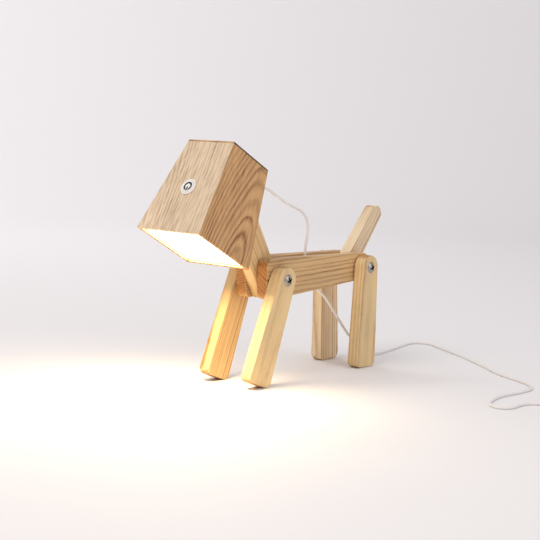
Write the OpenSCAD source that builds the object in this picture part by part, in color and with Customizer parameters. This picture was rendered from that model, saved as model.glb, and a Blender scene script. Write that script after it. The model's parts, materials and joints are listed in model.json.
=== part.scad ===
// Wooden dog table lamp: boards on two long bolts, a square lamp head on a hinged neck

/* [Boards] */
// Thickness of every body board
board_t = 18; // [14:0.5:24]
// Thickness of the friction washers between the boards
washer_t = 1; // [0.5:0.1:2]
// Diameter of the friction washers
washer_d = 20; // [16:1:26]

/* [Rails] */
// Distance between the front and the rear bolt
bolt_spacing = 196; // [170:1:230]
// Height of a rail at the front bolt
rail_front_h = 56; // [46:1:66]
// Height of a rail at the rear bolt
rail_rear_h = 40; // [36:1:50]
// Rail length in front of the front bolt
rail_front_over = 23; // [18:1:30]
// Rail length behind the rear bolt
rail_rear_over = 20; // [16:1:28]
// Corner radius of the rails
rail_corner_r = 12; // [6:1:15]

/* [Legs] */
// Leg length from the bolt to the sole
leg_l = 150; // [120:1:180]
// Leg width at the bolt, which its round top follows
leg_top_w = 36; // [30:1:44]
// Leg width at the sole
foot_w = 46; // [38:1:54]
// Corner radius of the foot
foot_corner_r = 10; // [5:1:14]
// Angle of the front legs, foot forward
front_leg_angle = 21; // [5:1:30]
// Angle of the rear left leg, foot forward
rear_left_leg_angle = 1; // [-10:0.5:10]
// Angle of the rear right leg, foot forward
rear_right_leg_angle = -3; // [-10:0.5:10]

/* [Neck] */
// Neck length from the body bolt to the head hinge
neck_l = 89; // [75:1:110]
// Width of the neck
neck_w = 44; // [36:1:48]
// Neck length below the body bolt
neck_low_over = 25; // [18:1:30]
// Corner radius of the neck's lower end
neck_corner_r = 10; // [4:1:14]
// Lean of the neck, forward from upright
neck_lean = 30.5; // [15:0.5:45]

/* [Tail] */
// Tail length from the bolt to the centre of its round tip
tail_l = 99; // [70:1:130]
// Width of the tail at the bolt
tail_base_w = 31; // [26:1:40]
// Width of the tail at its tip
tail_tip_w = 24; // [16:1:30]
// Lean of the tail, backward from upright
tail_lean = 40; // [10:1:60]

/* [Head] */
// Width of the head across its open end
head_open = 111; // [100:1:130]
// Width of the head across its closed end
head_end = 80; // [72:1:95]
// Length of the head along its axis
head_l = 139; // [125:1:160]
// Wall of the head
head_wall = 5; // [4:0.5:8]
// Thickness of the plate on the closed end
back_t = 2.5; // [1.5:0.5:5]
// Angle of the head's axis below level
head_drop = 62; // [40:1:75]
// Recess of the diffuser in the open end
diffuser_recess = 3; // [1:0.5:8]
// Thickness of the diffuser
diffuser_t = 2.5; // [1.5:0.5:4]
// Length of the corner cleats behind the diffuser
cleat_l = 24; // [15:1:30]
// Width of the corner cleats
cleat_w = 12; // [8:1:16]
// Thickness of the plate that carries the light board
carrier_t = 3; // [2:0.5:5]

/* [Light] */
// Side of the square light board
led_board_w = 60; // [40:1:64]
// Thickness of the circuit boards
board_pcb_t = 1.6; // [1:0.2:2]
// Light chips along one side of the board
led_rows = 4; // [2:1:6]
// Side of one light chip
led_w = 3.5; // [2:0.5:5]
// Height of one light chip
led_h = 0.8; // [0.5:0.1:1.5]

/* [Head hinge] */
// Place of the head hinge along the underside, from the open end
hinge_place = 69; // [60:1:80]
// Distance of the hinge bolt from the head's underside
hinge_standoff = 25; // [24.5:0.5:32]
// Thickness of the hinge brackets
bracket_t = 2; // [1.5:0.5:3]
// Length of the bracket flanges along the head
flange_l = 26; // [22:1:34]
// Width of the bracket flanges
flange_w = 14; // [11:1:18]
// Diameter of the hinge bolt
hinge_bolt_d = 5; // [4:0.5:6]
// Diameter of the bracket screws
screw_d = 2.4; // [2:0.2:3]

/* [Bolts] */
// Diameter of the body bolts
bolt_d = 6; // [5:0.5:8]
// Diameter of the bolt heads and cap nuts
bolt_head_d = 17; // [14:0.5:20]
// Height of the bolt heads and cap nuts
bolt_head_h = 3.6; // [2.5:0.1:5]
// Span of the cross recess in the bolt heads
recess_l = 9.6; // [6:0.2:12]
// Width of the recess's arms
recess_w = 2.6; // [1.6:0.2:3.6]
// Diameter of the cap nut's barrel
barrel_d = 9; // [8.5:0.5:12]
// Length of the cap nut's barrel
barrel_l = 14; // [10:0.5:16]

/* [Switch] */
// Place of the switch on the head's top, from the open end
switch_place = 66.5; // [55:0.5:80]
// Diameter of the white switch ring
switch_ring_d = 23; // [21.5:0.5:28]
// Diameter of the push button
button_d = 17.6; // [14:0.2:19]
// Travel of the push button
button_travel = 1; // [0.5:0.1:1.4]
// Depth of the switch body below the head's top
switch_depth = 17; // [15:0.5:22]

/* [Cord] */
// Diameter of the cord
cord_d = 3.8; // [3:0.1:3.9]
// Length of the tapered boot on the cord
boot_l = 22; // [20:1:30]
// Distance of the boot's middle from the closed end, along the underside
boot_inset = 13; // [12:1:20]

/* [Cord coil] */
// Turns in each of the two layers of the coil
coil_turns = 1.875; // [0.875:0.5:2.875]
// Radius of the coil's outermost turn
coil_r = 25; // [22:1:30]
// Space from one turn of the coil to the next
coil_gap = 1; // [0.9:0.1:1.5]
// Thickness of the tie around the coil
tie_t = 0.8; // [0.5:0.1:1.2]

/* [Plug] */
// Length of the plug's grip
grip_l = 24; // [18:1:30]
// Width of the plug's grip
grip_w = 15; // [13:0.5:18]
// Height of the plug's grip
grip_h = 8; // [7:0.5:10]
// Length of the plug's metal shell
shell_l = 18.8; // [16:0.2:20]

/* [Hidden] */
$fn = 64;

// Clearances
play = 0.1;          // flat faces that slide past each other, each side
bore_play = 0.075;   // round bolts in their bores, on the radius
fixed_play = 0.05;   // pieces fastened in one another, on the radius
hair = 0.01;         // what a piece runs into the next one of the same solid
past = 1;            // what a cut runs past the faces it opens

// Stack of boards across the body, measured from its middle plane
board_gap = washer_t + play;
rail_in = board_t / 2 + board_gap;
rail_out = rail_in + board_t;
leg_in = rail_out + board_gap;
leg_out = leg_in + board_t;

// Height of a leg's bolt when the foot, leaning by the angle, stands on the floor
function stand_h(angle) = (leg_l - foot_corner_r) * cos(angle)
    + (foot_w / 2 - foot_corner_r) * abs(sin(angle)) + foot_corner_r;
front_bolt_z = stand_h(front_leg_angle);
rear_bolt_z = max(stand_h(rear_left_leg_angle), stand_h(rear_right_leg_angle));
rail_rise = asin((rear_bolt_z - front_bolt_z) / bolt_spacing);

// Head, in its own frame: x from the open end along the axis, z towards the head's top
head_taper = atan((head_open - head_end) / 2 / head_l);
wall_across = head_wall / cos(head_taper);
function outer_half(x) = head_open / 2 - x * tan(head_taper);
function inner_half(x) = outer_half(x) - wall_across;
panel_end = head_l - back_t;
hinge_x = hinge_place * cos(head_taper) + hinge_standoff * sin(head_taper);
hinge_z = -head_open / 2 + hinge_place * sin(head_taper) - hinge_standoff * cos(head_taper);

// Places along the body, with the whole lamp centred over the origin
neck_top = [-neck_l * sin(neck_lean), neck_l * cos(neck_lean)];
nose_rise = head_open / 2 - hinge_z;
nose_x = neck_top[0] - hinge_x * cos(head_drop) - nose_rise * sin(head_drop);
tail_end_x = bolt_spacing * cos(rail_rise) + tail_l * sin(tail_lean) + tail_tip_w / 2;
front_bolt_x = -(nose_x + tail_end_x) / 2;
rear_bolt_x = front_bolt_x + bolt_spacing * cos(rail_rise);
head_hinge = [front_bolt_x + neck_top[0], 0, front_bolt_z + neck_top[1]];

// Depths inside the head, from the open end
cleat_x = diffuser_recess + diffuser_t;
carrier_x = cleat_x + cleat_l;
carrier_back = carrier_x + carrier_t;
loose_fit = 0.3;
glue_fit = 0.05;

// Head hinge, across the body
ear_in = board_t / 2 + board_gap;
ear_out = ear_in + bracket_t;
ear_r = 10;
ear_corner_r = 1.5;
hinge_washer_d = 16;
hinge_head_r = 4.75;
hinge_head_h = 2.75;
hinge_nut_key = 8;
hinge_nut_h = 4;
screw_spread = 15;
screw_l = 4;
screw_head_r = 2.6;
screw_head_h = 1.6;
carrier_screw_l = 8;

// Switch, in the frame of the head's top with z outward
switch_ring_h = 1.6;
switch_wall = 1.4;
button_play = 0.2;
button_proud = 0.4;
button_t = 2.6;
button_r = button_d / 2;
switch_bore_r = button_r + button_play;
switch_barrel_r = switch_bore_r + switch_wall;
switch_floor = 2;
switch_nut_w = 2.6;
switch_nut_h = 4;
contact_w = 6;
contact_h = 3.5;
contact_rest_gap = 0.5;
stem_r = 2.2;
spring_r = 5.5;
spring_wire = 0.6;
button_low = switch_ring_h + button_proud - button_t;
contact_top = -switch_depth + switch_floor + contact_h;
stem_low = contact_top + button_travel + contact_rest_gap;

// Cord and what it passes through
cord_r = cord_d / 2;
boot_place = head_l / cos(head_taper) - boot_inset;
boot_base_r = 4.2;
boot_tip_r = 2.9;
boot_flange_r = 5.5;
boot_flange_h = 1.5;
boot_stem_r = 3.4;
boot_stem_l = head_wall + 2.5;
cord_meet = 0.1;     // gap where a moving stretch of cord meets the next piece
clip_half = 6;
clip_wall = 2.2;
clip_foot_w = 9;
tube_sides = 8;
clip_place = [60, 0, 155];
clip_lean = atan(4 / 12);

// Route of the cord, chosen by hand
arch_high_route = [
    [-49, 0, 272.5], [-31, 0, 267], [-15, 0, 259], [6, 0, 249], [28, 0, 241]
];
arch_low_route = [
    [28, 0, 241], [44, 0, 235], [55, 0, 226], [60, 0, 213], [60, 0, 200],
    [57, 0, 186], [56, 0, 173], [58, 0, 161]
];
body_route = [
    [64, 0, 143], [73, 0, 130], [89, 0, 118], [108, 0, 104], [134, 0, 78], [162, 0, 50],
    [190, 0, 26], [215, 0, 11], [245, 1, 3.2], [272, 4, 2], [305, 10, 2], [340, 17, 2], [370, 23, 2],
    [387, 22, 2], [397, 13, 2], [399, 0, 2], [393, -14, 2], [376, -42, 2], [344, -96, 2],
    [298, -162, 2], [258, -214, 2], [234, -262, 2], [218, -287, 2], [196, -302, 2], [168, -304, 2],
    [118, -299, 2], [86, -304, 2], [64, -313, 2], [52, -326, 2], [55, -340, 2], [68, -346, 2],
    [88, -345, 2], [106, -350, 2], [116, -364, 2], [119, -378, 2.4]
];

// Route of the two leads inside the head, as steps away from the pieces at their ends
inner_lead_from_boot = [[-6, -3, 12], [-20, -8, 22]];
inner_lead_to_board = [[24, 1, -2], [8, 0, 0]];
switch_lead_from_switch = [[-2, 6, -9]];
switch_lead_to_board = [[8, 0, 3], [3, 0, 0.5]];
switch_lead_r = 1.2;

// Coil of the spare cord: spirals in on the floor, climbs, and spirals out above
coil_centre = [144, -392];
coil_step = cord_d + coil_gap;
coil_low = tie_t + play + cord_r;
coil_high = coil_low + coil_step;
coil_rings = 24;
coil_sides = 6;
coil_start_angle = 172;
coil_sweep = 360 * (2 * coil_turns + 0.5);
coil_steps = round(coil_rings * (2 * coil_turns + 0.5));
function coil_r_at(turn) = coil_r - coil_step * (turn < coil_turns ? turn
    : turn > coil_turns + 0.5 ? 2 * coil_turns + 0.5 - turn : coil_turns);
function coil_z_at(turn) = coil_low + coil_step * min(1, max(0, 2 * (turn - coil_turns)));
function coil_point(turn) = [
    coil_centre[0] + coil_r_at(turn) * cos(coil_start_angle + 360 * turn),
    coil_centre[1] + coil_r_at(turn) * sin(coil_start_angle + 360 * turn),
    coil_z_at(turn)
];
function coil_heading(angle) = [-sin(angle), cos(angle), 0];
coil_end_angle = coil_start_angle + coil_sweep;
coil_turn_points = [for (i = [0:coil_steps]) coil_point(i * coil_sweep / 360 / coil_steps)];
coil_path = concat(
    [coil_turn_points[0] - cord_d * coil_heading(coil_start_angle)],
    coil_turn_points,
    [coil_turn_points[coil_steps] + cord_d * coil_heading(coil_end_angle)]
);
coil_start = coil_path[0];
coil_end = coil_path[len(coil_path) - 1];

// Least space between stretches of the coil that lie over a third of a turn apart
coil_skip = round(coil_rings / 3);
coil_least = min([
    for (i = [0:coil_steps]) for (j = [i + coil_skip:1:coil_steps])
        norm(coil_turn_points[i] - coil_turn_points[j])
]) - cord_d;
echo(least_gap_between_coil_turns = coil_least);

// Plug beside the coil
plug_boot_l = 14;
plug_lead_l = 24;
plug_heading = coil_end_angle + 90;
plug_z = grip_h / 2;
grip_corner_r = 3;
shell_w = 12;
shell_h = 4.5;
shell_wall = 0.4;
shell_in = 7;
tongue_w = 10.5;
tongue_t = 1.8;
tongue_drop = 0.9;
plug_place = [
    coil_end[0] + plug_lead_l * cos(plug_heading),
    coil_end[1] + plug_lead_l * sin(plug_heading),
    plug_z
];

// Colours
ash = "burlywood";
pale_ash = "wheat";
nickel = "gainsboro";
white_nylon = "white";
steel = "silver";
laminate = "darkolivegreen";

// Unit vector
function unit(v) = v / norm(v);

// Direction of a path at one of its points
function heading(path, i) = unit(path[min(i + 1, len(path) - 1)] - path[max(i - 1, 0)]);

// Two points where the outer tangent, going round from one circle to the next, touches them
function tangent_points(a, b) = let (
        way = [b[0] - a[0], b[1] - a[1]],
        along = unit(way),
        right = [along[1], -along[0]],
        lean = asin((a[2] - b[2]) / norm(way)),
        normal = right * cos(lean) + along * sin(lean)
    ) [[a[0], a[1]] + a[2] * normal, [b[0], b[1]] + b[2] * normal];

// Outline drawn tight around circles, each given as x, y and radius, going round to the left
module round_outline(circles) {
    count = len(circles);
    polygon([for (i = [0:count - 1]) each tangent_points(circles[i], circles[(i + 1) % count])]);
    for (c = circles) translate([c[0], c[1]]) circle(r = c[2]);
}

// Board of one thickness standing in the body's long plane, from a given place across
module board(across, thick) {
    translate([0, across + thick, 0]) rotate([90, 0, 0]) linear_extrude(thick) children();
}

// Turns a shape that stands along z to lie across the body, from left to right
module across() {
    rotate([-90, 0, 0]) children();
}

// Tube swept along a path, with rings square to it
module tube(path, radius, sides, reference) {
    count = len(path);
    points = [
        for (i = [0:count - 1])
            let (t = heading(path, i), u = unit(cross(t, reference)), v = cross(u, t))
                for (k = [0:sides - 1])
                    path[i] + radius * (cos(360 * k / sides) * u + sin(360 * k / sides) * v)
    ];
    sides_faces = [
        for (i = [0:count - 2]) for (k = [0:sides - 1])
            let (a = i * sides + k, b = i * sides + (k + 1) % sides)
                each [[a, a + sides, b], [b, a + sides, b + sides]]
    ];
    first_cap = [for (k = [1:sides - 2]) [0, k, k + 1]];
    last = (count - 1) * sides;
    last_cap = [for (k = [1:sides - 2]) [last, last + k + 1, last + k]];
    polyhedron(points, concat(sides_faces, first_cap, last_cap));
}

// Places of the two body bolts and of the pieces that turn on them
module at_front_bolt(turn) {
    translate([front_bolt_x, 0, front_bolt_z]) rotate([0, turn, 0]) children();
}

module at_rear_bolt(turn) {
    translate([rear_bolt_x, 0, rear_bolt_z]) rotate([0, turn, 0]) children();
}

// Frame of the head, and the frames on its top and underside with z outward
module in_head() {
    translate(head_hinge) rotate([0, -head_drop, 0]) translate([-hinge_x, 0, -hinge_z]) children();
}

module on_top() {
    translate([0, 0, head_open / 2]) rotate([0, head_taper, 0]) children();
}

module on_underside() {
    mirror([0, 0, 1]) on_top() children();
}

// Bore across the boards, between two places
module cross_bore(radius, from, to) {
    translate([0, from, 0]) across() cylinder(r = radius, h = to - from);
}

// Domed cap that stands on z = 0
module dome(radius, height) {
    ball_r = (radius * radius + height * height) / (2 * height);
    intersection() {
        translate([0, 0, height - ball_r]) sphere(r = ball_r, $fn = 128);
        cylinder(r = radius, h = height);
    }
}

module rail_shape(from) {
    function half(x) = (rail_front_h + (rail_rear_h - rail_front_h) * x / bolt_spacing) / 2;
    slope = atan((rail_front_h - rail_rear_h) / 2 / bolt_spacing);
    front = -rail_front_over + rail_corner_r;
    rear = bolt_spacing + rail_rear_over - rail_corner_r;
    front_z = half(front) - rail_corner_r / cos(slope);
    rear_z = half(rear) - rail_corner_r / cos(slope);
    at_front_bolt(-rail_rise) difference() {
        board(from, board_t) round_outline([
            [front, -front_z, rail_corner_r], [rear, -rear_z, rail_corner_r],
            [rear, rear_z, rail_corner_r], [front, front_z, rail_corner_r]
        ]);
        for (x = [0, bolt_spacing]) translate([x, 0, 0])
            cross_bore(bolt_d / 2 + fixed_play, from - hair, from + board_t + hair);
    }
}

module left_rail() {
    color(ash) rail_shape(-rail_out);
}

module right_rail() {
    color(ash) rail_shape(rail_in);
}

// Leg hanging from its bolt, with a plain bore on the left or a seat for the cap nut on the right
module leg_shape(right) {
    side_x = foot_w / 2 - foot_corner_r;
    low = -leg_l + foot_corner_r;
    from = right ? leg_in : -leg_out;
    difference() {
        board(from, board_t) round_outline([
            [-side_x, low, foot_corner_r], [side_x, low, foot_corner_r], [0, 0, leg_top_w / 2]
        ]);
        cross_bore(bolt_d / 2 + bore_play, from - hair, from + board_t + hair);
        if (right) cross_bore(barrel_d / 2 + bore_play, leg_out + play - barrel_l - play, leg_out + hair);
    }
}

module front_left_leg() {
    color(pale_ash) at_front_bolt(front_leg_angle) leg_shape(false);
}

module front_right_leg() {
    color(pale_ash) at_front_bolt(front_leg_angle) leg_shape(true);
}

module rear_left_leg() {
    color(pale_ash) at_rear_bolt(rear_left_leg_angle) leg_shape(false);
}

module rear_right_leg() {
    color(pale_ash) at_rear_bolt(rear_right_leg_angle) leg_shape(true);
}

// Long bolt from the left leg's outside into the cap nut on the right
nut_roof = 1.5;
bolt_end = leg_out + play - nut_roof;

module body_bolt() {
    recess_depth = 2;
    recess_turn = 25;
    color(nickel) {
        translate([0, -leg_out - play, 0]) rotate([90, 0, 0]) difference() {
            dome(bolt_head_d / 2, bolt_head_h);
            for (turn = [recess_turn, recess_turn + 90])
                rotate([0, 0, turn])
                translate([-recess_l / 2, -recess_w / 2, bolt_head_h - recess_depth])
                cube([recess_l, recess_w, recess_depth + hair]);
        }
        cross_bore(bolt_d / 2, -leg_out - play - hair, bolt_end);
    }
}

module body_cap_nut() {
    color(nickel) difference() {
        union() {
            translate([0, leg_out + play, 0]) across() dome(bolt_head_d / 2, bolt_head_h);
            cross_bore(barrel_d / 2, leg_out + play - barrel_l, leg_out + play + hair);
        }
        cross_bore(bolt_d / 2 + fixed_play, leg_out + play - barrel_l - hair, bolt_end + fixed_play);
    }
}

module front_bolt() {
    at_front_bolt(0) body_bolt();
}

module front_cap_nut() {
    at_front_bolt(0) body_cap_nut();
}

module rear_bolt() {
    at_rear_bolt(0) body_bolt();
}

module rear_cap_nut() {
    at_rear_bolt(0) body_cap_nut();
}

module washer(from, outer_d, bore_d) {
    difference() {
        cross_bore(outer_d / 2, from, from + washer_t);
        cross_bore(bore_d / 2 + fixed_play, from - hair, from + washer_t + hair);
    }
}

// Fibre washers on both faces of each rail, at both bolts
module friction_washers() {
    color("dimgray") for (from = [-rail_out - washer_t, -rail_in, rail_in - washer_t, rail_out]) {
        at_front_bolt(0) washer(from, washer_d, bolt_d);
        at_rear_bolt(0) washer(from, washer_d, bolt_d);
    }
}

module neck() {
    side_x = neck_w / 2 - neck_corner_r;
    low = -neck_low_over + neck_corner_r;
    color(ash) at_front_bolt(-neck_lean) difference() {
        board(-board_t / 2, board_t) round_outline([
            [-side_x, low, neck_corner_r], [side_x, low, neck_corner_r], [0, neck_l, neck_w / 2]
        ]);
        cross_bore(bolt_d / 2 + bore_play, -board_t, board_t);
        translate([0, 0, neck_l]) cross_bore(hinge_bolt_d / 2 + bore_play, -board_t, board_t);
    }
}

module tail() {
    color(pale_ash) at_rear_bolt(tail_lean) difference() {
        board(-board_t / 2, board_t) round_outline([[0, 0, tail_base_w / 2], [0, tail_l, tail_tip_w / 2]]);
        cross_bore(bolt_d / 2 + bore_play, -board_t, board_t);
    }
}

// One wall of the head, mitred along both edges, in the place of the top one
module head_wall_shape() {
    a = outer_half(0);
    b = inner_half(0);
    c = outer_half(panel_end);
    d = inner_half(panel_end);
    polyhedron(
        [
            [0, -a, a], [0, a, a], [0, b, b], [0, -b, b],
            [panel_end, -c, c], [panel_end, c, c], [panel_end, d, d], [panel_end, -d, d]
        ],
        [[0, 1, 2, 3], [4, 7, 6, 5], [0, 4, 5, 1], [1, 5, 6, 2], [2, 6, 7, 3], [3, 7, 4, 0]]
    );
}

// Plate or block that fills the head between two depths, with a margin to the walls
module head_fill(from, to, margin) {
    a = inner_half(from) - margin;
    b = inner_half(to) - margin;
    polyhedron(
        [
            [from, -a, -a], [from, a, -a], [from, a, a], [from, -a, a],
            [to, -b, -b], [to, b, -b], [to, b, b], [to, -b, b]
        ],
        [[0, 3, 2, 1], [4, 5, 6, 7], [0, 1, 5, 4], [1, 2, 6, 5], [2, 3, 7, 6], [3, 0, 4, 7]]
    );
}

module head_top_panel() {
    color(ash) in_head() difference() {
        head_wall_shape();
        on_top() translate([switch_place, 0, -head_wall - past])
            cylinder(r = switch_barrel_r + fixed_play, h = head_wall + 2 * past);
    }
}

// Places of the bracket screws, in the frame of the underside
module at_bracket_screws() {
    reach = ear_out + flange_w / 2;
    for (side = [-1, 1]) for (end = [-1, 1])
        translate([hinge_place + end * screw_spread / 2, side * reach, bracket_t]) children();
}

module head_bottom_panel() {
    color(ash) in_head() difference() {
        rotate([180, 0, 0]) head_wall_shape();
        on_underside() {
            translate([boot_place, 0, -head_wall - past])
                cylinder(r = boot_stem_r + fixed_play, h = head_wall + 2 * past);
            at_bracket_screws() translate([0, 0, -bracket_t - screw_l - play])
                cylinder(r = screw_d / 2 + fixed_play, h = screw_l + play + hair);
        }
    }
}

module head_left_panel() {
    color(ash) in_head() rotate([90, 0, 0]) head_wall_shape();
}

module head_right_panel() {
    color(ash) in_head() rotate([-90, 0, 0]) head_wall_shape();
}

module head_back_panel() {
    a = outer_half(panel_end);
    b = outer_half(head_l);
    color("saddlebrown") in_head() polyhedron(
        [
            [panel_end, -a, -a], [panel_end, a, -a], [panel_end, a, a], [panel_end, -a, a],
            [head_l, -b, -b], [head_l, b, -b], [head_l, b, b], [head_l, -b, b]
        ],
        [[0, 3, 2, 1], [4, 5, 6, 7], [0, 1, 5, 4], [1, 2, 6, 5], [2, 3, 7, 6], [3, 0, 4, 7]]
    );
}

// Places in the four corners, on the middle of each cleat at a given depth
module at_corners(x) {
    reach = inner_half(carrier_back) - loose_fit - cleat_w / 2;
    for (y = [-1, 1]) for (z = [-1, 1]) translate([x, y * reach, z * reach]) children();
}

// Corner cleats that hold the diffuser in front and the light's carrier behind
module corner_cleats() {
    inside = inner_half(carrier_x) - cleat_w;
    reach = head_open;
    color(pale_ash) in_head() difference() {
        intersection() {
            head_fill(cleat_x, carrier_x, glue_fit);
            for (y = [0, 1]) for (z = [0, 1]) mirror([0, y, 0]) mirror([0, 0, z])
                translate([cleat_x - past, inside, inside]) cube([cleat_l + 2 * past, reach, reach]);
        }
        at_corners(carrier_x + hair) rotate([0, -90, 0])
            cylinder(r = screw_d / 2 + fixed_play, h = carrier_screw_l + play);
    }
}

module diffuser() {
    color("ivory") in_head() head_fill(diffuser_recess, cleat_x, loose_fit);
}

module light_carrier() {
    color("whitesmoke") in_head() difference() {
        head_fill(carrier_x, carrier_back, loose_fit);
        at_corners(carrier_x - past) rotate([0, 90, 0])
            cylinder(r = screw_d / 2 + fixed_play, h = carrier_t + 2 * past);
    }
}

module carrier_screws() {
    color(steel) in_head() at_corners(carrier_back) {
        rotate([0, 90, 0]) dome(screw_head_r, screw_head_h);
        rotate([0, -90, 0]) cylinder(r = screw_d / 2, h = carrier_screw_l + carrier_t);
    }
}

module light_board() {
    color("gainsboro") in_head() translate([carrier_x - board_pcb_t, -led_board_w / 2, -led_board_w / 2])
        cube([board_pcb_t, led_board_w, led_board_w]);
}

// Square field of light chips on the light board
module light_chips() {
    pitch = led_board_w / led_rows;
    first = -(led_board_w - pitch + led_w) / 2;
    color("gold") in_head() for (i = [0:led_rows - 1]) for (j = [0:led_rows - 1])
        translate([carrier_x - board_pcb_t - led_h, first + i * pitch, first + j * pitch])
            cube([led_h, led_w, led_w]);
}

// Small board with the driver and the terminals, flat on the back of the carrier
control_w = 40;
control_h = 28;
terminal_w = 10;
terminal_h = 8;

module control_board() {
    chip_w = 14;
    chip_h = 5;
    color(laminate) in_head() translate([carrier_back, 0, 0]) {
        translate([0, -control_w / 2, -control_h / 2]) cube([board_pcb_t, control_w, control_h]);
        translate([board_pcb_t - hair, -chip_w / 2, -chip_w / 2]) cube([chip_h, chip_w, chip_w]);
        for (y = [-control_w / 2, control_w / 2 - terminal_w])
            translate([board_pcb_t - hair, y, -terminal_w / 2]) cube([terminal_h, terminal_w, terminal_w]);
    }
}

// Angle bracket on the right: an ear beside the neck and a flange on the head's underside
module bracket_shape() {
    corner_x = flange_l / 2 - ear_corner_r;
    difference() {
        union() {
            translate([hinge_place, 0, 0]) board(ear_in, bracket_t) round_outline([
                [-corner_x, ear_corner_r, ear_corner_r], [corner_x, ear_corner_r, ear_corner_r],
                [0, hinge_standoff, ear_r]
            ]);
            translate([hinge_place - flange_l / 2, ear_in, 0])
                cube([flange_l, bracket_t + flange_w, bracket_t]);
        }
        translate([hinge_place, 0, hinge_standoff])
            cross_bore(hinge_bolt_d / 2 + fixed_play, 0, ear_out + past);
        at_bracket_screws() translate([0, 0, -bracket_t - past])
            cylinder(r = screw_d / 2 + fixed_play, h = bracket_t + 2 * past);
    }
}

module right_hinge_bracket() {
    color(steel) in_head() on_underside() bracket_shape();
}

module left_hinge_bracket() {
    color(steel) in_head() on_underside() mirror([0, 1, 0]) bracket_shape();
}

module bracket_screws() {
    color(steel) in_head() on_underside() at_bracket_screws() {
        dome(screw_head_r, screw_head_h);
        translate([0, 0, -bracket_t - screw_l]) cylinder(r = screw_d / 2, h = bracket_t + screw_l + hair);
    }
}

hinge_bolt_end = ear_out + hinge_nut_h + 1.5;

module hinge_bolt() {
    color(nickel) translate(head_hinge) {
        translate([0, -ear_out, 0]) rotate([90, 0, 0]) dome(hinge_head_r, hinge_head_h);
        cross_bore(hinge_bolt_d / 2, -ear_out - hair, hinge_bolt_end);
    }
}

module hinge_nut() {
    color(nickel) translate(head_hinge) difference() {
        translate([0, ear_out, 0]) across() cylinder(d = hinge_nut_key / cos(30), h = hinge_nut_h, $fn = 6);
        cross_bore(hinge_bolt_d / 2 + fixed_play, ear_out - hair, ear_out + hinge_nut_h + hair);
    }
}

module hinge_washers() {
    color("dimgray") translate(head_hinge) for (from = [-ear_in, ear_in - washer_t])
        washer(from, hinge_washer_d, hinge_bolt_d);
}

// Switch pieces, in the frame of the head's top
module at_switch() {
    in_head() on_top() translate([switch_place, 0, 0]) children();
}

module switch_housing() {
    color(white_nylon) at_switch() difference() {
        union() {
            cylinder(d = switch_ring_d, h = switch_ring_h);
            translate([0, 0, -switch_depth]) cylinder(r = switch_barrel_r, h = switch_depth + hair);
        }
        translate([0, 0, -switch_depth + switch_floor]) cylinder(r = switch_bore_r, h = switch_depth * 2);
    }
}

module switch_nut() {
    color("dimgray") at_switch() translate([0, 0, -head_wall - switch_nut_h]) difference() {
        cylinder(r = switch_barrel_r + switch_nut_w, h = switch_nut_h);
        translate([0, 0, -past]) cylinder(r = switch_barrel_r + fixed_play, h = switch_nut_h + 2 * past);
    }
}

module switch_contact() {
    color("dimgray") at_switch() translate([-contact_w / 2, -contact_w / 2, -switch_depth + switch_floor])
        cube([contact_w, contact_w, contact_h]);
}

// Return spring around the contact, drawn as its outer sleeve
module button_spring() {
    low = -switch_depth + switch_floor;
    color(steel) at_switch() translate([0, 0, low]) difference() {
        cylinder(r = spring_r, h = button_low - low);
        translate([0, 0, -past]) cylinder(r = spring_r - spring_wire, h = button_low - low + 2 * past);
    }
}

module button_cap() {
    color(white_nylon) at_switch() {
        translate([0, 0, button_low]) cylinder(r = button_r, h = button_t);
        translate([0, 0, stem_low]) cylinder(r = stem_r, h = button_low - stem_low + hair);
    }
}

// Tapered boot where the cord leaves the head
module cord_boot() {
    color(white_nylon) in_head() on_underside() translate([boot_place, 0, 0]) difference() {
        union() {
            cylinder(r1 = boot_base_r, r2 = boot_tip_r, h = boot_l);
            cylinder(r = boot_flange_r, h = boot_flange_h);
            translate([0, 0, -boot_stem_l]) cylinder(r = boot_stem_r, h = boot_stem_l + hair);
        }
        translate([0, 0, -boot_stem_l - past])
            cylinder(r = cord_r + fixed_play, h = boot_l + boot_stem_l + 2 * past);
    }
}

// Point on the underside's frame, and the same point in the head's frame
function underside_point(x, z) = [
    x * cos(head_taper) + z * sin(head_taper), 0,
    -head_open / 2 + x * sin(head_taper) - z * cos(head_taper)
];
function top_point(x, z) = [
    x * cos(head_taper) + z * sin(head_taper), 0,
    head_open / 2 - x * sin(head_taper) + z * cos(head_taper)
];

// Path of a lead from a piece in the head to a terminal
function lead_path(start, inside, steps_out, steps_in, terminal) = concat(
    [start, inside], [for (s = steps_out) inside + s], [for (s = steps_in) terminal + s], [terminal]
);

// End of the cord inside the head, from the boot to the control board's left terminal
module inner_lead() {
    terminal = [carrier_back + board_pcb_t + terminal_h, -(control_w - terminal_w) / 2, 0];
    start = underside_point(boot_place, boot_l);
    inside = underside_point(boot_place, -boot_stem_l - cord_d);
    color(white_nylon) in_head()
        tube(lead_path(start, inside, inner_lead_from_boot, inner_lead_to_board, terminal),
            cord_r, tube_sides, [0, 1, 0]);
}

// Thin lead from the switch to the control board's right terminal
module switch_lead() {
    terminal = [carrier_back + board_pcb_t + terminal_h, (control_w - terminal_w) / 2, 0];
    start = top_point(switch_place, -switch_depth);
    inside = top_point(switch_place, -switch_depth - 2 * switch_lead_r);
    color("crimson") in_head()
        tube(lead_path(start, inside, switch_lead_from_switch, switch_lead_to_board, terminal),
            switch_lead_r, tube_sides, [0, 1, 0]);
}

// Same point of the head's frame in the lamp's frame
function from_head(p) = head_hinge + [
    (p[0] - hinge_x) * cos(head_drop) - (p[2] - hinge_z) * sin(head_drop), p[1],
    (p[0] - hinge_x) * sin(head_drop) + (p[2] - hinge_z) * cos(head_drop)
];

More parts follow.
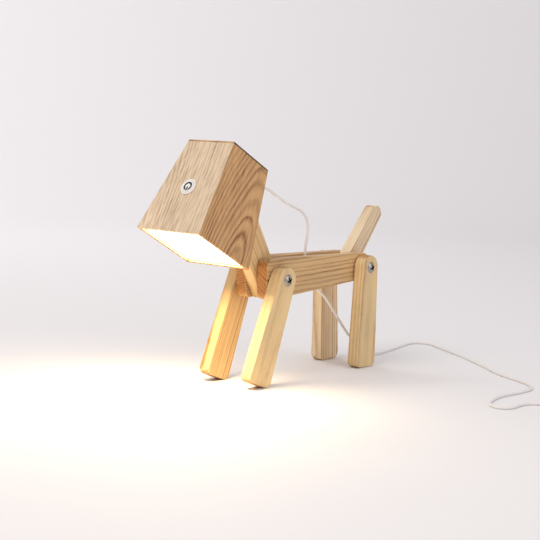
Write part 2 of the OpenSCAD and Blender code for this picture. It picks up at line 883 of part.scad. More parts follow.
module cord_arch_high() {
    start = from_head(underside_point(boot_place, boot_l + cord_meet));
    straight = from_head(underside_point(boot_place, boot_l + 2 * cord_d));
    color(white_nylon) tube(concat([start, straight], arch_high_route), cord_r, tube_sides, [0, 1, 0]);
}

module cord_arch_low() {
    first = arch_low_route[0] + cord_meet * unit(arch_low_route[1] - arch_low_route[0]);
    others = [for (i = [1:len(arch_low_route) - 1]) arch_low_route[i]];
    color(white_nylon) tube(concat([first], others, [clip_place]), cord_r, tube_sides, [0, 1, 0]);
}

// Nylon clip on the inside of the right rail, which the cord runs through
module cord_clip() {
    color(white_nylon) translate(clip_place) rotate([0, -clip_lean, 0]) difference() {
        union() {
            translate([0, 0, -clip_half]) cylinder(r = cord_r + clip_wall, h = 2 * clip_half);
            translate([-clip_foot_w / 2, 0, -clip_half]) cube([clip_foot_w, rail_in, 2 * clip_half]);
        }
        translate([0, 0, -clip_half - past]) cylinder(r = cord_r + fixed_play, h = 2 * (clip_half + past));
    }
}

module body_cord() {
    color(white_nylon) tube(concat([clip_place], body_route, [coil_start]), cord_r, tube_sides, [0, 0, 1]);
}

module cord_coil() {
    color(white_nylon) tube(coil_path, cord_r, coil_sides, [0, 0, 1]);
}

// Tie around all turns of the coil, on the side away from the lamp
module cord_tie() {
    tie_w = 5;
    tie_angle = 60;
    inner_r = coil_r - coil_step * coil_turns - cord_r - play;
    outer_r = coil_r + cord_r + play;
    low = coil_low - cord_r - play;
    high = coil_high + cord_r + play;
    color("dimgray") translate([coil_centre[0], coil_centre[1], 0]) rotate([0, 0, tie_angle]) difference() {
        translate([inner_r - tie_t, -tie_w / 2, low - tie_t])
            cube([outer_r - inner_r + 2 * tie_t, tie_w, high - low + 2 * tie_t]);
        translate([inner_r, -tie_w, low]) cube([outer_r - inner_r, 2 * tie_w, high - low]);
    }
}

// Frame of the plug, with x the way it points
module at_plug() {
    translate(plug_place) rotate([0, 0, plug_heading]) children();
}

module plug_cord() {
    way = coil_heading(coil_end_angle);
    color(white_nylon) tube([
        coil_end, coil_end + cord_d * way,
        [coil_end[0], coil_end[1], (coil_end[2] + plug_z) / 2] + plug_lead_l / 2 * way,
        plug_place - cord_d * way, plug_place
    ], cord_r, tube_sides, [0, 0, 1]);
}

module plug_grip() {
    boot_wall = 0.8;
    edge_r = 1;
    side = grip_w / 2 - grip_corner_r;
    edge_y = grip_w / 2 - edge_r;
    color(white_nylon) at_plug() difference() {
        union() {
            rotate([0, 90, 0])
                cylinder(r1 = cord_r + boot_wall, r2 = grip_h / 2 - edge_r, h = plug_boot_l + hair);
            translate([plug_boot_l, 0, -grip_h / 2]) linear_extrude(grip_h) round_outline([
                [grip_corner_r, -side, grip_corner_r], [grip_l - edge_r, -edge_y, edge_r],
                [grip_l - edge_r, edge_y, edge_r], [grip_corner_r, side, grip_corner_r]
            ]);
        }
        translate([plug_boot_l + grip_l - shell_in, -shell_w / 2 - fixed_play, -shell_h / 2 - fixed_play])
            cube([shell_in + past, shell_w + 2 * fixed_play, shell_h + 2 * fixed_play]);
    }
}

module plug_shell() {
    color(steel) at_plug() translate([plug_boot_l + grip_l - shell_in, 0, 0]) difference() {
        translate([0, -shell_w / 2, -shell_h / 2]) cube([shell_l, shell_w, shell_h]);
        translate([shell_wall, -shell_w / 2 + shell_wall, -shell_h / 2 + shell_wall])
            cube([shell_l, shell_w - 2 * shell_wall, shell_h - 2 * shell_wall]);
    }
}

module plug_tongue() {
    color("white") at_plug() translate([plug_boot_l + grip_l - shell_in + shell_wall, -tongue_w / 2,
        shell_h / 2 - shell_wall - tongue_t]) cube([shell_l - shell_wall - tongue_drop, tongue_w, tongue_t]);
}

left_rail();
right_rail();
front_bolt();
front_cap_nut();
rear_bolt();
rear_cap_nut();
friction_washers();
front_left_leg();
front_right_leg();
rear_left_leg();
rear_right_leg();
neck();
tail();
head_top_panel();
head_bottom_panel();
head_left_panel();
head_right_panel();
head_back_panel();
corner_cleats();
diffuser();
light_carrier();
carrier_screws();
light_board();
light_chips();
control_board();
left_hinge_bracket();
right_hinge_bracket();
bracket_screws();
hinge_bolt();
hinge_nut();
hinge_washers();
switch_housing();
switch_nut();
switch_contact();
button_spring();
button_cap();
cord_boot();
inner_lead();
switch_lead();
cord_arch_high();
cord_arch_low();
cord_clip();
body_cord();
cord_coil();
cord_tie();
plug_cord();
plug_grip();
plug_shell();
plug_tongue();
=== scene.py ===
import json
import math

import bmesh
import bpy
from mathutils import Euler, Matrix, Vector


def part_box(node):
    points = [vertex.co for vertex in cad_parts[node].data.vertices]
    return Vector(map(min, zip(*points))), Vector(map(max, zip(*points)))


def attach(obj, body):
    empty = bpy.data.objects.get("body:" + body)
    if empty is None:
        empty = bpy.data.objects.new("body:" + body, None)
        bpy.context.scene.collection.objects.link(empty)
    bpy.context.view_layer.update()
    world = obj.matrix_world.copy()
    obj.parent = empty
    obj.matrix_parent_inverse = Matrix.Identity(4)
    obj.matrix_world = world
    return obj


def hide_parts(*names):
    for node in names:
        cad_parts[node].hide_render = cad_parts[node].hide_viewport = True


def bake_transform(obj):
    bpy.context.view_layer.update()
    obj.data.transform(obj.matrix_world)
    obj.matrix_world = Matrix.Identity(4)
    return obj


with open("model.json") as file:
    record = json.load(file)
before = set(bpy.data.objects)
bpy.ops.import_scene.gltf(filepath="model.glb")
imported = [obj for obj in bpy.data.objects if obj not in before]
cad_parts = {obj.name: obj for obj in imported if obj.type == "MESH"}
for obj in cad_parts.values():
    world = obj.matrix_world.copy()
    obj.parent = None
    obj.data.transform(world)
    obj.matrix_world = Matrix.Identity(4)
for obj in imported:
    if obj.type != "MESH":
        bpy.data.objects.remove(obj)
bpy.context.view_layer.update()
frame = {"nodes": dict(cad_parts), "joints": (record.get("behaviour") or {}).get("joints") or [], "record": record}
mm = 0.001
print("frame loaded:", len(frame["nodes"]), "nodes")


# camera, at the photograph's view

photoCamera = {
    "place": (-1439.92, -1170.38, 366.83),  # mm, in the lamp's frame
    "heading": 39.55,  # degrees from +X towards +Y
    "pitch": -6.6,
    "roll": -1.99,
    "focal": 1314.5,  # in pixels of the picture
    "picture": 540,  # pixels
    "sensor": 36.0,  # mm
    "clip": (0.05, 20),  # m
}


def addCamera(setup):
    heading, pitch, roll = (math.radians(setup[key]) for key in ("heading", "pitch", "roll"))
    level = math.cos(pitch)
    ahead = Vector((level * math.cos(heading), level * math.sin(heading), math.sin(pitch)))
    right = ahead.cross(Vector((0, 0, 1))).normalized()
    down = ahead.cross(right)
    turnedRight = math.cos(roll) * right + math.sin(roll) * down
    turnedDown = math.cos(roll) * down - math.sin(roll) * right
    place = Matrix((turnedRight, -turnedDown, -ahead)).transposed().to_4x4()
    place.translation = Vector(setup["place"]) * mm
    data = bpy.data.cameras.new("photoCamera")
    data.sensor_fit = "HORIZONTAL"
    data.sensor_width = setup["sensor"]
    data.lens = setup["sensor"] * setup["focal"] / setup["picture"]
    data.clip_start, data.clip_end = setup["clip"]
    camera = bpy.data.objects.new("photoCamera", data)
    camera.matrix_world = place
    bpy.context.scene.collection.objects.link(camera)
    bpy.context.scene.camera = camera


addCamera(photoCamera)
print("camera set")


# small helpers

rangeSockets = ("From Min", "From Max", "To Min", "To Max")


def toLinear(hexColour):
    parts = [int(hexColour[i:i + 2], 16) / 255 for i in (1, 3, 5)]
    return tuple(c / 12.92 if c <= 0.04045 else ((c + 0.055) / 1.055) ** 2.4 for c in parts) + (1.0,)


def addNode(tree, kind, settings=None, links=None):
    made = tree.nodes.new(kind)
    for name, value in (settings or {}).items():
        if isinstance(name, int) or name in made.inputs:
            made.inputs[name].default_value = value
        else:
            setattr(made, name, value)
    for name, source in (links or {}).items():
        tree.links.new(source, made.inputs[name])
    return made


def newMaterial(name, settings):
    material = bpy.data.materials.new(name)
    material.use_nodes = True
    tree = material.node_tree
    shader = tree.nodes["Principled BSDF"]
    for key, value in settings.items():
        shader.inputs[key].default_value = value
    return material, tree, shader


def addPiece(name, mesh, material=None):
    piece = bpy.data.objects.new(name, mesh)
    bpy.context.scene.collection.objects.link(piece)
    if material:
        mesh.materials.clear()
        mesh.materials.append(material)
    return piece


def centreOf(node):
    low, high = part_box(node)
    return (Vector(low) + Vector(high)) / 2


def ringAround(shape, middle, across, upward, radius, sides):
    angles = [2 * math.pi * k / sides for k in range(sides)]
    return [shape.verts.new(middle + radius * (math.cos(a) * across + math.sin(a) * upward)) for a in angles]


def skinRings(shape, rings):
    for ring, following in zip(rings, rings[1:]):
        for k in range(len(ring)):
            n = (k + 1) % len(ring)
            shape.faces.new((ring[k], ring[n], following[n], following[k]))


def toMesh(name, shape, smoothTo=None):
    # smoothTo: degrees between faces up to which the edge is shaded smooth
    mesh = bpy.data.meshes.new(name)
    shape.to_mesh(mesh)
    shape.free()
    if smoothTo:
        mesh.polygons.foreach_set("use_smooth", [True] * len(mesh.polygons))
        mesh.set_sharp_from_angle(angle=math.radians(smoothTo))
    return mesh


# cord, along the route of the solids

cord = {
    "diameter": 3.8,  # mm, like all lengths here
    "sides": 16,
    "smoothTo": 40,  # the flat ends don't shade the rings
    "step": 3.0,  # between rings
    "bootTip": (-66.39, 0, 276.90),
    "bootAxis": (0.9295, 0, -0.3687),
    "bootLead": 7,  # straight out of the strain relief
    "archHigh": [(-49, 0, 272.5), (-31, 0, 267), (-15, 0, 259), (6, 0, 249), (28, 0, 241)],
    "archLow": [(44, 0, 235), (55, 0, 226), (60, 0, 213), (60, 0, 200), (57, 0, 186), (56, 0, 173),
                (58, 0, 161)],
    "clip": (60, 0, 155),
    "join": (22.5, 0, 243),  # where the arch is cut in two
    "slackLine": (-15.4, 0, -72.4),  # from the join towards the rail
    "body": [
        (64, 0, 143), (73, 0, 130), (89, 0, 118), (108, 0, 104), (134, 0, 78), (162, 0, 50),
        (190, 0, 26), (215, 0, 11), (245, 1, 3.2), (272, 4, 2), (305, 10, 2), (340, 17, 2), (370, 23, 2),
        (387, 22, 2), (397, 13, 2), (399, 0, 2), (393, -14, 2), (376, -42, 2), (344, -96, 2),
        (298, -162, 2), (258, -214, 2), (234, -262, 2), (218, -287, 2), (196, -302, 2), (168, -304, 2),
        (118, -299, 2), (86, -304, 2), (64, -313, 2), (52, -326, 2), (55, -340, 2), (68, -346, 2),
        (88, -345, 2), (106, -350, 2), (116, -364, 2), (119, -378, 2.4),
    ],
    "coilCentre": (144, -392),
    "coilRadius": 25.0,
    "coilGap": 1.0,
    "coilTurns": 1.875,  # in each layer
    "coilRise": 0.5,  # turns between the layers
    "coilStart": 172.0,  # degrees
    "coilRings": 24,  # points in a turn
    "tie": 0.8,
    "tiePlay": 0.1,
    "plugLead": 24.0,
    "plugHeight": 4.0,
}


def coilPoints(c):
    step = c["diameter"] + c["coilGap"]
    turns = c["coilTurns"]
    rise = c["coilRise"]
    total = 2 * turns + rise
    low = c["tie"] + c["tiePlay"] + c["diameter"] / 2
    count = round(c["coilRings"] * total)
    points = []
    for i in range(count + 1):
        turn = total * i / count
        inward = turn if turn < turns else total - turn if turn > turns + rise else turns
        radius = c["coilRadius"] - step * inward
        angle = math.radians(c["coilStart"] + 360 * turn)
        height = low + step * min(1, max(0, (turn - turns) / rise))
        points.append((c["coilCentre"][0] + radius * math.cos(angle),
                       c["coilCentre"][1] + radius * math.sin(angle), height))
    return points, math.radians(c["coilStart"] + 360 * total)


def smoothPath(points, step):
    p = [Vector(q) for q in points]
    p = [2 * p[0] - p[1]] + p + [2 * p[-1] - p[-2]]
    path = []
    for i in range(1, len(p) - 2):
        a, b, c, d = p[i - 1:i + 3]
        span = (c - b).length
        leave = (c - a) * (span / ((b - a).length + span))
        arrive = (d - b) * (span / (span + (d - c).length))
        parts = max(2, math.ceil(span / step))
        for k in range(parts):
            t = k / parts
            path.append((2 * t**3 - 3 * t**2 + 1) * b + (t**3 - 2 * t**2 + t) * leave
                        + (3 * t**2 - 2 * t**3) * c + (t**3 - t**2) * arrive)
    path.append(p[-2])
    return path


def lengthOf(path):
    return sum((b - a).length for a, b in zip(path, path[1:]))


def addTube(name, path, first=0, last=None):
    # first and last cut a stretch out of a longer path, so that its end rings meet those of its neighbours
    shape = bmesh.new()
    across = None
    rings = []
    for i in range(first, len(path) if last is None else last + 1):
        ahead = (path[min(i + 1, len(path) - 1)] - path[max(i - 1, 0)]).normalized()
        if across is None:
            across = ahead.cross(Vector((0, 1, 0))).normalized()
        across = (across - ahead * across.dot(ahead)).normalized()
        rings.append(ringAround(shape, path[i], across, ahead.cross(across), cordRadius, cord["sides"]))
    skinRings(shape, rings)
    shape.faces.new(rings[0][::-1])
    shape.faces.new(rings[-1])
    bmesh.ops.recalc_face_normals(shape, faces=shape.faces)
    return addPiece(name, toMesh(name, shape, cord["smoothTo"]))


bootTip = Vector(cord["bootTip"])
bootLead = bootTip + cord["bootLead"] * Vector(cord["bootAxis"])
archPoints = [bootTip, bootLead] + cord["archHigh"] + cord["archLow"] + [cord["clip"]]
archPath = [p * mm for p in smoothPath(archPoints, cord["step"])]
joinPoint = Vector(cord["join"]) * mm
joinIndex = min(range(len(archPath)), key=lambda i: (archPath[i] - joinPoint).length)
coilPath, coilEnd = coilPoints(cord)
coilHeading = Vector((-math.sin(coilEnd), math.cos(coilEnd), 0))
coilLast = Vector(coilPath[-1])
coilLeave = cord["diameter"] * coilHeading
plugStart = coilLast + coilLeave + cord["plugLead"] * coilHeading
plugStart.z = cord["plugHeight"]
floorPoints = [cord["clip"]] + cord["body"] + coilPath
floorPoints += [coilLast + coilLeave, (coilLast + plugStart) / 2, plugStart - coilLeave, plugStart]
floorPath = [p * mm for p in smoothPath(floorPoints, cord["step"])]

cordRadius = cord["diameter"] / 2 * mm
archHigh = addTube("archHigh", archPath, last=joinIndex)
archLow = addTube("archLow", archPath, first=joinIndex)
floorCord = addTube("floorCord", floorPath)
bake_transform(archHigh)
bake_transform(archLow)
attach(floorCord, "body")
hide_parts("cord_arch_high")
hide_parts("cord_arch_low")
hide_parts("body_cord", "cord_coil", "plug_cord")
print("cord laid: %.0f mm" % ((lengthOf(archPath) + lengthOf(floorPath)) / mm))


# ash boards, sawn and sanded smooth, with a clear matte oil: dark ring lines, arches where the saw met
# the rings at a slant, fine fibres along the board and end grain that drinks more oil and goes darker

woods = {
    # the ends of the head's boards are not darkened: painted light, keeping the rim around the diffuser pale as if
    # the lamp lit it
    # one veneer in two tones: the paler, greyer top is painted sheen and light, and the warmer, darker sides are
    # painted shade over the veneer's own darker tone
    "headTopSheen": {"pale": "#E4CEB0", "line": "#9A7048", "end": "#FFF4DC", "lineShare": 0.62},
    "headSideShade": {"pale": "#D4A874", "line": "#7E4B25", "end": "#FFF4DC", "lineShare": 0.75},
    # the thin back plate, in the side panels' colours, with its ends coloured dark grey
    "plate": {"pale": "#D4A874", "line": "#7E4B25", "end": "#7E787A", "lineShare": 0.75},
    "rail": {"pale": "#D8B482", "line": "#8C5A2A", "end": "#E0B884", "lineShare": 0.7},
    "neck": {"pale": "#E2C08A", "line": "#8C5A2A", "end": "#D2AC7C", "lineShare": 0.7},
    "leg": {"pale": "#E4C794", "line": "#98602A", "end": "#D0A970", "lineShare": 0.6},
    "amber": {"pale": "#E2C088", "line": "#985E1E", "end": "#D0A970", "lineShare": 0.6},
    "cream": {"pale": "#F4DAB0", "line": "#8A5A30", "end": "#D6B684", "lineShare": 0.6},
    "tail": {"pale": "#EBD5B2", "line": "#986C3C", "end": "#D6B684", "lineShare": 0.6},
}

ash = {
    "surface": {"Roughness": 0.5, "IOR": 1.5, "Specular IOR Level": 0.35},
    "noises": {  # mm along the board and across it, detail, roughness, whether it follows the wandering rings
        "wander": (160, 35, 2.0, 0.45, False),
        "ripple": (45, 12, 3.0, 0.5, False),
        "patch": (120, 30, 2.0, 0.5, False),
        "streak": (220, 2.8, 2.0, 0.5, True),  # streaks, fibres and pores are drawn 1 to 3 mm wide to show
        "fibre": (60, 1.1, 3.0, 0.6, True),
        "pore": (12, 1.0, 1.0, 0.5, True),
    },
    "uneven": {"noise_dimensions": "1D", "Scale": 0.4, "Detail": 1.0},  # rings are never evenly wide
    "unevenBy": 1.3,  # rings
    "ringEnds": (0.55, 0.57),  # darkness where a year starts and ends
    "ring": ((0.14, 0.14), (0.3, 0.0), (0.5, 0.1), (0.72, 0.55), (0.88, 1.0)),  # and in between
    "poreDark": 0.45,
    "knotCell": (34 / 0.7, 34),  # mm along and across
    "bump": {"Strength": 0.35, "Distance": 0.2 * mm, "invert": True},
    "ranges": {  # from low, from high, to low, to high
        "year": (0.0, 1.0, 0.4, 1.0),  # some years leave a fainter line
        "fade": (0.36, 0.6, 0.6, 1.1),  # to low is the board's own faded
        "streak": (0.32, 0.68, -0.5, 0.5),
        "fibre": (0.3, 0.7, -0.5, 0.5),
        "pore": (0.56, 0.7, 0.0, 1.0),
        "knot": (0.07, 0.03, 0.0, 0.0),  # to high is the board's own knots
        "patch": (0.3, 0.7, 0.9, 1.08),
        "end": (0.6, 0.95, 0.0, 0.9),
        "rough": (0.0, 1.0, 0.44, 0.64),
    },
}

# what a board's grain has unless it says otherwise
plainGrain = {"ripple": 2.0, "ageing": 1.0, "faded": 0.6, "lines": 1.0, "base": 0.0, "streaks": 0.22,
              "fibres": 0.16, "knots": 0.0}


def ashWood(name, board):
    grain = {**plainGrain, **board}
    look = woods[grain["wood"]]
    limits = {key: dict(zip(rangeSockets, row)) for key, row in ash["ranges"].items()}
    limits["fade"]["To Min"] = grain["faded"]
    limits["knot"]["To Max"] = grain["knots"]
    material, tree, shader = newMaterial(name, ash["surface"])
    place = addNode(tree, "ShaderNodeTexCoord")
    turn = Euler([math.radians(a) for a in grain["turn"]])
    local = addNode(tree, "ShaderNodeMapping",
                    {"vector_type": "TEXTURE", "Location": grain["from"], "Rotation": turn},
                    {"Vector": place.outputs["Object"]})
    # noises stretched along the board; the first two shift the rings
    noises = {}
    wandered = local
    for key, (along, across, detail, rough, follows) in ash["noises"].items():
        space = wandered if follows else local
        scale = (1 / (along * mm), 1 / (across * mm), 1 / (across * mm))
        stretched = addNode(tree, "ShaderNodeMapping", {"Scale": scale}, {"Vector": space.outputs[0]})
        noises[key] = addNode(tree, "ShaderNodeTexNoise",
                              {"Scale": 1.0, "Detail": detail, "Roughness": rough},
                              {"Vector": stretched.outputs[0]})
        if key in ("wander", "ripple"):
            centred = addNode(tree, "ShaderNodeVectorMath", {"operation": "SUBTRACT", 1: (0.5, 0.5, 0.5)},
                              {0: noises[key].outputs["Color"]})
            shift = addNode(tree, "ShaderNodeVectorMath", {"operation": "SCALE", "Scale": grain[key] * mm},
                            {0: centred.outputs[0]})
            wandered = addNode(tree, "ShaderNodeVectorMath", {"operation": "ADD"},
                               {0: wandered.outputs[0], 1: shift.outputs[0]})
    # heart of the tree: a line beside the board, leaning by slant across and up
    parts = addNode(tree, "ShaderNodeSeparateXYZ", None, {0: wandered.outputs[0]})
    fromHeart = {}
    for axis, slant, heart in zip("YZ", grain["slant"], grain["heart"]):
        lean = addNode(tree, "ShaderNodeMath", {"operation": "MULTIPLY_ADD", 1: slant, 2: -heart * mm},
                       {0: parts.outputs["X"]})
        away = addNode(tree, "ShaderNodeMath", {"operation": "ADD"},
                       {0: parts.outputs[axis], 1: lean.outputs[0]})
        fromHeart[axis] = away.outputs[0]
    flat = addNode(tree, "ShaderNodeCombineXYZ", None, fromHeart)
    radius = addNode(tree, "ShaderNodeVectorMath", {"operation": "LENGTH"}, {0: flat.outputs[0]})
    ringShare = addNode(tree, "ShaderNodeMath", {"operation": "DIVIDE", 1: grain["ring"] * mm},
                        {0: radius.outputs["Value"]})
    rings = addNode(tree, "ShaderNodeMath", {"operation": "POWER", 1: grain["ageing"]},
                    {0: ringShare.outputs[0]})
    uneven = addNode(tree, "ShaderNodeTexNoise", ash["uneven"], {"W": rings.outputs[0]})
    widened = addNode(tree, "ShaderNodeMath", {"operation": "MULTIPLY_ADD", 1: ash["unevenBy"]},
                      {0: uneven.outputs["Fac"], 2: rings.outputs[0]})
    phase = addNode(tree, "ShaderNodeMath", {"operation": "FRACT"}, {0: widened.outputs[0]})
    profile = addNode(tree, "ShaderNodeValToRGB", None, {0: phase.outputs[0]})
    ramp = profile.color_ramp
    for element, value in zip(ramp.elements, ash["ringEnds"]):
        element.color = (value, value, value, 1)
    for position, value in ash["ring"]:
        ramp.elements.new(position).color = (value, value, value, 1)
    year = addNode(tree, "ShaderNodeMath", {"operation": "FLOOR"}, {0: widened.outputs[0]})
    yearChance = addNode(tree, "ShaderNodeTexWhiteNoise", {"noise_dimensions": "1D"}, {"W": year.outputs[0]})
    yearShare = addNode(tree, "ShaderNodeMapRange", limits["year"], {"Value": yearChance.outputs["Value"]})
    yearDark = addNode(tree, "ShaderNodeMath", {"operation": "MULTIPLY"},
                       {0: profile.outputs["Color"], 1: yearShare.outputs[0]})
    # broad patches: the lines fade in some
    patchParts = addNode(tree, "ShaderNodeSeparateColor", None, {0: noises["patch"].outputs["Color"]})
    fade = addNode(tree, "ShaderNodeMapRange", limits["fade"], {"Value": patchParts.outputs["Green"]})
    ringDark = addNode(tree, "ShaderNodeMath", {"operation": "MULTIPLY"},
                       {0: yearDark.outputs[0], 1: fade.outputs[0]})
    # streaks and fibres along the board, and open pores in the dark part of the rings
    dark = addNode(tree, "ShaderNodeMath", {
        "operation": "MULTIPLY_ADD", 1: look["lineShare"] * grain["lines"], 2: grain["base"]},
        {0: ringDark.outputs[0]})
    for key, share in (("streak", grain["streaks"]), ("fibre", grain["fibres"])):
        lift = addNode(tree, "ShaderNodeMapRange", limits[key], {"Value": noises[key].outputs["Fac"]})
        dark = addNode(tree, "ShaderNodeMath", {"operation": "MULTIPLY_ADD", 1: share},
                       {0: lift.outputs[0], 2: dark.outputs[0]})
    pore = addNode(tree, "ShaderNodeMapRange", limits["pore"], {"Value": noises["pore"].outputs["Fac"]})
    ringPore = addNode(tree, "ShaderNodeMath", {"operation": "MULTIPLY"},
                       {0: pore.outputs[0], 1: ringDark.outputs[0]})
    dark = addNode(tree, "ShaderNodeMath",
                   {"operation": "MULTIPLY_ADD", 1: ash["poreDark"], "use_clamp": True},
                   {0: ringPore.outputs[0], 2: dark.outputs[0]})
    # pin knots, a few on a board
    along, across = (1 / (size * mm) for size in ash["knotCell"])
    knotSpace = addNode(tree, "ShaderNodeMapping", {"Scale": (along, across, across)},
                        {"Vector": local.outputs[0]})
    knot = addNode(tree, "ShaderNodeTexVoronoi", {"Scale": 1.0}, {"Vector": knotSpace.outputs[0]})
    knotDark = addNode(tree, "ShaderNodeMapRange", limits["knot"], {"Value": knot.outputs["Distance"]})
    dark = addNode(tree, "ShaderNodeMath", {"operation": "MAXIMUM"},
                   {0: dark.outputs[0], 1: knotDark.outputs[0]})
    colour = addNode(tree, "ShaderNodeMix", {
        "data_type": "RGBA", 6: toLinear(look["pale"]), 7: toLinear(look["line"])}, {0: dark.outputs[0]})
    patchValue = addNode(tree, "ShaderNodeMapRange", limits["patch"],
                         {"Value": noises["patch"].outputs["Fac"]})
    tinted = addNode(tree, "ShaderNodeHueSaturation", None,
                     {"Color": colour.outputs[2], "Value": patchValue.outputs[0]})
    # end grain, where the surface faces along the board; on the head's boards it stays pale, painted light on the
    # rim around the diffuser
    facing = addNode(tree, "ShaderNodeVectorMath", {
        "operation": "DOT_PRODUCT", 1: turn.to_matrix() @ Vector((1, 0, 0))}, {0: place.outputs["Normal"]})
    square = addNode(tree, "ShaderNodeMath", {"operation": "ABSOLUTE"}, {0: facing.outputs["Value"]})
    endShare = addNode(tree, "ShaderNodeMapRange", {**limits["end"], "interpolation_type": "SMOOTHSTEP"},
                       {"Value": square.outputs[0]})
    endColour = addNode(tree, "ShaderNodeMix", {
        "data_type": "RGBA", "blend_type": "MULTIPLY", 7: toLinear(look["end"])},
        {0: endShare.outputs[0], 6: tinted.outputs[0]})
    roughness = addNode(tree, "ShaderNodeMapRange", limits["rough"], {"Value": dark.outputs[0]})
    bump = addNode(tree, "ShaderNodeBump", ash["bump"], {"Height": dark.outputs[0]})
    tree.links.new(endColour.outputs[2], shader.inputs["Base Color"])
    tree.links.new(roughness.outputs[0], shader.inputs["Roughness"])
    tree.links.new(bump.outputs[0], shader.inputs["Normal"])
    return material


rounding = {
    "weld": 0.001,  # mm
    "flat": 0.4,  # degrees between faces that are one
    "corner": 50,  # degrees from which an edge is rounded over
    "bore": 8,  # mm around a bolt whose edges stay as drilled
    "segments": 3,
    "smoothTo": 35,  # degrees
}


def softened(node, edge, keepAxes, material, body):
    # the solid again, with its outer edges rounded over
    shape = bmesh.new()
    shape.from_mesh(frame["nodes"][node].data)
    bmesh.ops.remove_doubles(shape, verts=shape.verts, dist=rounding["weld"] * mm)
    bmesh.ops.dissolve_limit(shape, angle_limit=math.radians(rounding["flat"]), verts=shape.verts,
                             edges=shape.edges)
    shape.normal_update()

    def besideBore(vertex):
        reach = rounding["bore"] * mm
        return any(math.hypot(vertex.co.x - a.x, vertex.co.z - a.z) < reach for a in keepAxes)

    rim = []
    for e in shape.edges:
        if len(e.link_faces) == 2 and e.calc_face_angle(0) > math.radians(rounding["corner"]):
            if not (besideBore(e.verts[0]) and besideBore(e.verts[1])):
                rim.append(e)
    bmesh.ops.bevel(shape, geom=rim, offset=edge * mm, segments=rounding["segments"], profile=0.5,
                    affect="EDGES", clamp_overlap=True)
    shape.normal_update()
    piece = addPiece(node + "Soft", toMesh(node + "Soft", shape, rounding["smoothTo"]), material)
    piece.modifiers.new("flat faces stay flat", "WEIGHTED_NORMAL").keep_sharp = True
    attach(piece, body)
    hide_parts(node)
    return piece


frontBolt = centreOf("front_bolt")
rearBolt = centreOf("rear_bolt")
headHinge = centreOf("hinge_washers")
boltAxes = [frontBolt, rearBolt, headHinge]
headTilt = 62  # degrees from level to the head's axis

# turn: the board's length as its local X, as turns about X, Y and Z in degrees; heart: mm from the board's
# own axis to the heart of the tree; slant: how fast the heart leaves; ring: mm from ring to ring
railBoard = {"body": "body", "wood": "rail", "slot": "rail_wood", "edge": 1.4, "from": frontBolt,
             "turn": (0, -1.5, 0), "wander": 7, "lines": 1.2, "streaks": 0.2, "base": 0.03, "fibres": 0.22}
frontLeg = {"slot": "leg_wood", "edge": 1.3, "from": frontBolt, "turn": (0, 111, 0)}
rearLeg = {"slot": "leg_wood", "edge": 1.3, "from": rearBolt, "ring": 5.0}
# the head's panels take the darker copy of the veneer, painted shade
headBoard = {"body": "head", "wood": "headSideShade", "slot": "head_wood", "edge": 0.3, "from": headHinge,
             "turn": (0, -headTilt, 0), "ageing": 1.2, "wander": 8, "ripple": 0.8, "lines": 1.2,
             "streaks": 0.3, "base": 0.08, "fibres": 0.26}
boards = {
    "left_rail": {**railBoard, "heart": (60, -107), "slant": (0.02, 0.01), "ring": 5.4},
    "right_rail": {**railBoard, "heart": (-15, -94), "slant": (-0.02, 0.02), "ring": 3.6},
    "neck": {"body": "neck", "wood": "neck", "slot": "rail_wood", "edge": 1.3, "from": frontBolt,
             "turn": (0, -120.5, 0), "heart": (32, -70), "slant": (0.05, 0.03), "ring": 5.5, "wander": 6,
             "lines": 0.8},
    "tail": {"body": "tail", "wood": "tail", "slot": "leg_wood", "edge": 1.2, "from": rearBolt,
             "turn": (0, -50, 0), "heart": (3, 74), "slant": (0.0, 0.0), "ring": 6.2, "wander": 3,
             "lines": 1.6},
    "front_left_leg": {**frontLeg, "body": "front_left_leg", "wood": "leg", "heart": (-82, 6),
                       "slant": (0.02, 0.02), "ring": 6.5, "wander": 5, "lines": 0.35, "streaks": 0.12,
                       "knots": 0.8},
    "front_right_leg": {**frontLeg, "body": "front_right_leg", "wood": "amber", "heart": (8, 85),
                        "slant": (-0.01, 0.02), "ring": 4.4, "wander": 4, "lines": 1.5},
    "rear_left_leg": {**rearLeg, "body": "rear_left_leg", "wood": "leg", "turn": (0, 91, 0),
                      "heart": (-92, 2), "slant": (0.0, 0.02), "wander": 5, "lines": 0.9, "streaks": 0.14,
                      "knots": 0.5},
    "rear_right_leg": {**rearLeg, "body": "rear_right_leg", "wood": "cream", "turn": (0, 87, 0),
                       "heart": (4, 88.5), "slant": (0.0, 0.0), "wander": 3, "lines": 1.2},
    # the top panel takes the paler copy of the veneer with fainter lines, painted sheen and light
    "head_top_panel": {**headBoard, "wood": "headTopSheen", "heart": (62, 100.2), "slant": (-0.08, 0.31),
                       "ring": 6.4, "ageing": 1.1, "wander": 5, "lines": 0.8, "streaks": 0.42, "base": 0.1,
                       "fibres": 0.16, "faded": 0.35},
    "head_left_panel": {**headBoard, "heart": (-74.5, 44), "slant": (0.175, 0.12), "ring": 9.7, "wander": 9,
                        "ripple": 1.2},
    "head_right_panel": {**headBoard, "heart": (71.5, 84), "slant": (-0.1485, -0.06), "ring": 9.7},
    "head_bottom_panel": {**headBoard, "heart": (-24, 16), "slant": (0.1, -0.3), "ring": 9.0},
    "head_back_panel": {**headBoard, "wood": "plate", "slot": "back_wood", "turn": (28, 0, 90),
                        "heart": (92, 30), "slant": (0.06, 0.1), "ring": 5.6, "ageing": 1.0, "wander": 9,
                        "base": 0.06, "fibres": 0.16},
}

for name, board in boards.items():
    softened(name, board["edge"], boltAxes, ashWood(name + " oiled ash", board), board["body"])
print("boards dressed:", len(boards))


